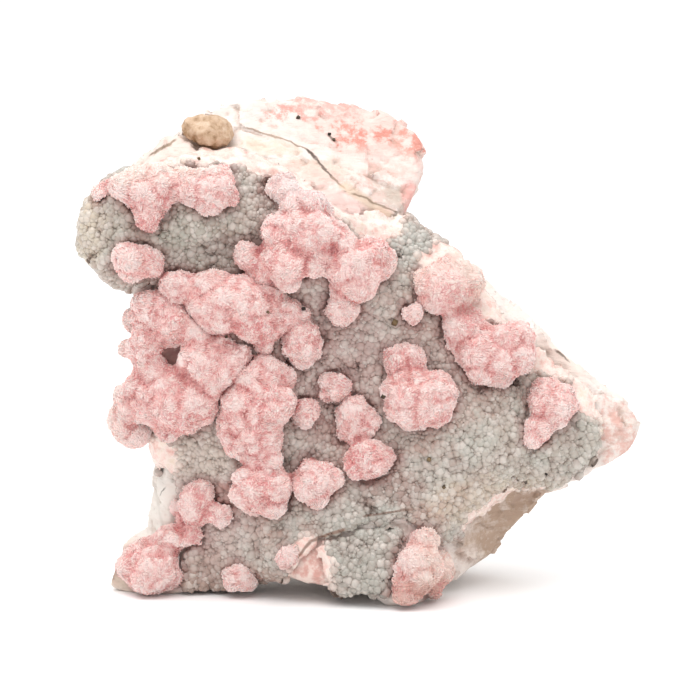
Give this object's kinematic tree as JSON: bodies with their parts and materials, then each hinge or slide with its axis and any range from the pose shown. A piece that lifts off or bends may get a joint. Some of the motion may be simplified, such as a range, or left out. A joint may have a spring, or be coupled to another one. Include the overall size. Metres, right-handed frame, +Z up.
{
  "type": "rhodochrosite mineral specimen",
  "caption": "Loose mineral specimen: pale pink rhodochrosite balls grown on a grey quartz druse that lines a cream and pink banded rock.",
  "frame": {"origin": "under the middle of the specimen's box, on the surface that it stands on", "axes": "+Z up, the crystal face towards -Y, +X to the right seen from the front"},
  "size_m": [0.1002, 0.0436, 0.088],
  "materials": {
    "host_rock": "matt, broken pale carbonate rock with cream and pink bands",
    "quartz": "grey translucent quartz grains, waxy to glassy",
    "brown_rock": "matt, worn brown pebble",
    "rhodochrosite": "matt, pale pink, finely bladed"
  },
  "bodies": {
    "root": {"brown_clast": "brown_rock", "ledge_druse": "quartz", "matrix": "host_rock", "quartz_druse": "quartz", "rhodochrosite_arch_bead": "rhodochrosite", "rhodochrosite_bead_high": "rhodochrosite", "rhodochrosite_bead_lower": "rhodochrosite", "rhodochrosite_bead_middle": "rhodochrosite", "rhodochrosite_bead_small": "rhodochrosite", "rhodochrosite_bead_upper": "rhodochrosite", "rhodochrosite_brow": "rhodochrosite", "rhodochrosite_cheek": "rhodochrosite", "rhodochrosite_chin": "rhodochrosite", "rhodochrosite_column": "rhodochrosite", "rhodochrosite_crown": "rhodochrosite", "rhodochrosite_foot": "rhodochrosite", "rhodochrosite_foot_bead": "rhodochrosite", "rhodochrosite_great_ball": "rhodochrosite", "rhodochrosite_lump": "rhodochrosite", "rhodochrosite_saddle": "rhodochrosite", "rhodochrosite_shoulder": "rhodochrosite", "rhodochrosite_twin": "rhodochrosite", "rhodochrosite_wing_ball": "rhodochrosite"}
  },
  "joints": []
}
